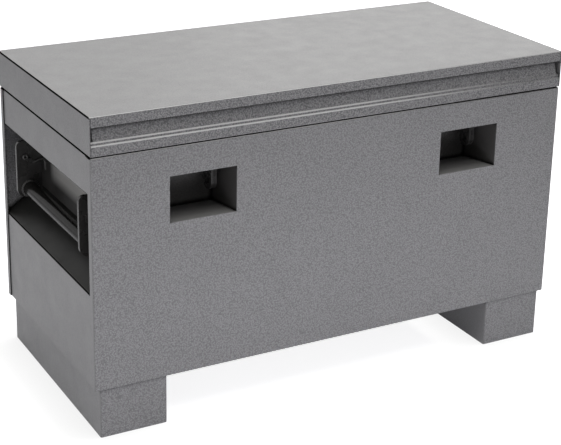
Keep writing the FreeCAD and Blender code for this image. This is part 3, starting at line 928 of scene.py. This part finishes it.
@dataclass
class DropHandle:
    """Drop handle of one end: its arms, grip and lugs, with the split pins and the grip's welds."""

    shop: Shop
    side: Side

    # Split pin: its wire, its angle in the pivot pin, its eye and the gaps round them.
    wire: float = 1.5 * MM
    arm_gap: float = 0.5 * MM
    pin_angle: float = 40.0
    pin_radius: float = 5 * MM
    eye: float = 3.6 * MM
    eye_gap: float = 1.5 * MM
    eye_arc: Span = (335.0, 20.0)
    eye_steps: int = 28

    # Tail of the split pin, from the pivot's centre: millimetres inwards and up.
    tail: tuple[tuple[float, float], ...] = (
        (2.3, -1.6), (5.7, -4.4), (11.5, -3.6), (19.0, -1.2),
        (25.0, -1.6), (28.3, -6.0), (29.0, -14.0), (29.2, -23.5),
    )
    tail_steps: int = 8

    # Weld bead: its radius, and how far it lies off the arm and the grip as shares of that.
    bead: float = 3.0 * MM
    off_arm: float = 0.3
    off_grip: float = 0.4
    bead_steps: int = 96

    def build(self) -> None:
        """Dress the handle and add its small pieces."""
        word = self.side.word
        finishes = self.shop.finishes
        self.shop.dress(f"{word}_handle_grip", finishes.grip)
        for facing in Facing:
            for part in ("arm", "lug"):
                self.shop.dress(f"{word}_handle_{facing.word}_{part}", finishes.handle)
            self.split_pin(facing)
        self.grip_welds()

    def handle_body(self) -> Body:
        """Body of this end's handle."""
        return Body.LEFT_HANDLE if self.side is Side.LEFT else Body.RIGHT_HANDLE

    def split_pin(self, facing: Facing) -> None:
        """Push a split pin aslant through the inner end of one pivot pin and bend its tail down.

        Args:
            facing: Which pivot pin it holds.
        """
        arm_low, arm_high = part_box(f"{self.side.word}_handle_{facing.word}_arm")
        face = arm_high.y if facing is Facing.FRONT else arm_low.y
        pivot = joint_place(self.shop.frame, f"{self.side.word}_handle_swing")
        centre = Vector((pivot.x, face - facing.sign * (self.arm_gap + self.wire), pivot.z))
        inward, up = Vector((-self.side.sign, 0, 0)), Vector((0, 0, 1))
        slant = math.radians(self.pin_angle)
        along = inward * math.cos(slant) - up * math.sin(slant)
        aside = inward * math.sin(slant) + up * math.cos(slant)
        ring = centre - along * (self.pin_radius + self.eye_gap + self.eye)
        eye = arc(ring, self.eye, *self.eye_arc, along, aside, self.eye_steps)[::-1]
        leg = [centre - along * (self.pin_radius + self.eye_gap / 2)]
        leg += [centre + (inward * inwards + up * upwards) * MM for inwards, upwards in self.tail]
        vertices, faces = sweep(eye + curve(leg, self.tail_steps), lambda share: self.wire, False)
        name = f"{self.side.word}_handle_{facing.word}_split_pin"
        self.shop.add(make_object(name, vertices, faces), self.shop.finishes.wire, Body.BOX, Slot.HANDLE)

    def grip_welds(self) -> None:
        """Weld the grip to both arms."""
        low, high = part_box(f"{self.side.word}_handle_grip")
        centre, radius = (low + high) / 2, (high.x - low.x) / 2
        rings = []
        for facing, end in ((Facing.FRONT, low.y), (Facing.REAR, high.y)):
            middle = Vector((centre.x, end - facing.sign * self.bead * self.off_arm, centre.z))
            ring = arc(middle, radius + self.bead * self.off_grip, 0, 360,
                       Vector((1, 0, 0)), Vector((0, 0, 1)), self.bead_steps)
            rings.append(ring[:-1])
        self.shop.weld(f"{self.side.word}_grip_weld", rings, self.bead, self.shop.finishes.handle,
                       self.handle_body(), Slot.HANDLE)


@dataclass
class GasStrut:
    """Gas strut of one end, with its bracket and the lid's stud."""

    shop: Shop
    side: Side

    def build(self) -> None:
        """Dress the strut."""
        word = self.side.word
        finishes = self.shop.finishes
        self.shop.dress(f"{word}_strut_cylinder", finishes.enamel)
        self.shop.dress(f"{word}_strut_rod", finishes.chrome)
        for part in ("strut_bracket", "lid_stud"):
            self.shop.dress(f"{word}_{part}", finishes.zinc)


# ---------------------------------------------------------------- studio


@dataclass
class Softbox:
    """Rectangular area lamp that points at a target, which is the middle of the box by default."""

    name: str
    place: Vector
    size: Span
    power: float
    target: Vector = field(default_factory=lambda: Vector((0, 0, 0.28)))
    colour: Colour = (1.0, 0.995, 0.972)

    def build(self) -> None:
        """Hang the lamp."""
        lamp = bpy.data.lights.new(self.name, "AREA")
        lamp.shape = "RECTANGLE"
        lamp.size, lamp.size_y = self.size
        lamp.energy = self.power
        lamp.color = self.colour
        made = bpy.data.objects.new(self.name, lamp)
        made.location = self.place
        made.rotation_mode = "QUATERNION"
        made.rotation_quaternion = (self.target - self.place).to_track_quat("-Z", "Y")
        made.visible_camera = False
        bpy.context.scene.collection.objects.link(made)


@dataclass
class Studio:
    """Pale floor, soft lamps, plain surroundings and the camera."""

    image_width: float = 561.0
    image_height: float = 445.0
    focal_pixels: float = 1479.95
    centre_pixels: Span = (261.70, 142.00)
    camera_place: Vector = field(default_factory=lambda: Vector((-1.24634, -2.23631, 1.25554)))
    yaw: float = 0.4947
    pitch: float = 0.3275
    roll: float = 0.0164
    sensor: float = 36.0
    clip: Span = (0.05, 100.0)
    floor_reach: float = 30.0
    floor_drop: float = 0.2 * MM
    surround: float = 0.15

    def build(self) -> None:
        """Set up everything round the box."""
        self.camera()
        self.world()
        self.floor()
        for lamp in self.lamps():
            lamp.build()
        bpy.context.scene.view_settings.view_transform = "Standard"

    def lamps(self) -> list[Softbox]:
        """The lamps.

        Returns:
            Two big softboxes overhead, one of them in front of the box, a weak one low at the left,
            a bluish strip along the foot of the front, and one behind the right end.
        """
        return [
            Softbox("high_front", place=Vector((-0.5, -1.05, 3.4)), size=(3.0, 2.0), power=70.0,
                    target=Vector((-0.4, -1.05, 0.0))),
            Softbox("overhead", place=Vector((0.7, 0.4, 3.2)), size=(3.0, 2.4), power=42.0),
            Softbox("low_left", place=Vector((-2.8, 0.5, 0.6)), size=(1.4, 0.8), power=6.0,
                    target=Vector((-0.45, 0.0, 0.33))),
            Softbox("low_front", place=Vector((-0.15, -0.85, 0.05)), size=(2.0, 0.3), power=4.8,
                    target=Vector((-0.15, -0.2, 0.05)), colour=(0.95, 0.95, 1.0)),
            Softbox("rear_right", place=Vector((2.6, 2.6, 1.7)), size=(3.0, 1.6), power=10.0),
        ]

    def camera(self) -> None:
        """Place the camera."""
        data = bpy.data.cameras.new("camera")
        data.sensor_width = self.sensor
        data.lens = self.focal_pixels * self.sensor / self.image_width
        data.shift_x = (self.image_width / 2 - self.centre_pixels[0]) / self.image_width
        data.shift_y = (self.centre_pixels[1] - self.image_height / 2) / self.image_width
        data.clip_start, data.clip_end = self.clip
        forward = Vector((math.sin(self.yaw) * math.cos(self.pitch),
                          math.cos(self.yaw) * math.cos(self.pitch), -math.sin(self.pitch)))
        level = Vector((math.cos(self.yaw), -math.sin(self.yaw), 0))
        raised = level.cross(forward)
        right = level * math.cos(self.roll) + raised * math.sin(self.roll)
        up = raised * math.cos(self.roll) - level * math.sin(self.roll)
        made = bpy.data.objects.new("camera", data)
        turn = Matrix((right, up, -forward)).transposed()
        made.matrix_world = Matrix.Translation(self.camera_place) @ turn.to_4x4()
        bpy.context.scene.collection.objects.link(made)
        bpy.context.scene.camera = made

    def world(self) -> None:
        """Light the surroundings evenly, white to the camera and in reflections."""
        world = bpy.data.worlds.new("surroundings")
        world.use_nodes = True
        nodes, links = world.node_tree.nodes, world.node_tree.links
        nodes.clear()
        path = nodes.new("ShaderNodeLightPath")
        seen, reflected = (nodes.new("ShaderNodeMath") for _ in range(2))
        seen.operation = reflected.operation = "MAXIMUM"
        links.new(path.outputs["Is Glossy Ray"], reflected.inputs[0])
        links.new(path.outputs["Is Transmission Ray"], reflected.inputs[1])
        links.new(path.outputs["Is Camera Ray"], seen.inputs[0])
        links.new(reflected.outputs[0], seen.inputs[1])
        dim, white = (nodes.new("ShaderNodeBackground") for _ in range(2))
        dim.inputs["Strength"].default_value = self.surround
        for shade in (dim, white):
            shade.inputs["Color"].default_value = WHITE
        mixed = nodes.new("ShaderNodeMixShader")
        output = nodes.new("ShaderNodeOutputWorld")
        links.new(seen.outputs[0], mixed.inputs[0])
        links.new(dim.outputs[0], mixed.inputs[1])
        links.new(white.outputs[0], mixed.inputs[2])
        links.new(mixed.outputs[0], output.inputs["Surface"])
        bpy.context.scene.world = world

    def floor(self) -> None:
        """Lay the floor, a hair below the skids."""
        reach = self.floor_reach
        corners = [(-reach, -reach, 0), (reach, -reach, 0), (reach, reach, 0), (-reach, reach, 0)]
        floor = make_object("floor", corners, [(0, 1, 2, 3)], smooth=False)
        floor.location.z = -self.floor_drop
        floor.data.materials.append(StudioFloor().material())


def main() -> None:
    """Load the frame, build every sub-assembly and set up the studio."""
    logging.basicConfig(level=logging.INFO, format="%(name)s: %(message)s")
    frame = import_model()
    shop = Shop(frame, Finishes())
    BodyShell(shop).build()
    Lid(shop).build()
    Hinge(shop).build()
    for side in Side:
        PadlockPocket(shop, side).build()
        DropHandle(shop, side).build()
        GasStrut(shop, side).build()
    Studio().build()


if __name__ == "__main__":
    main()
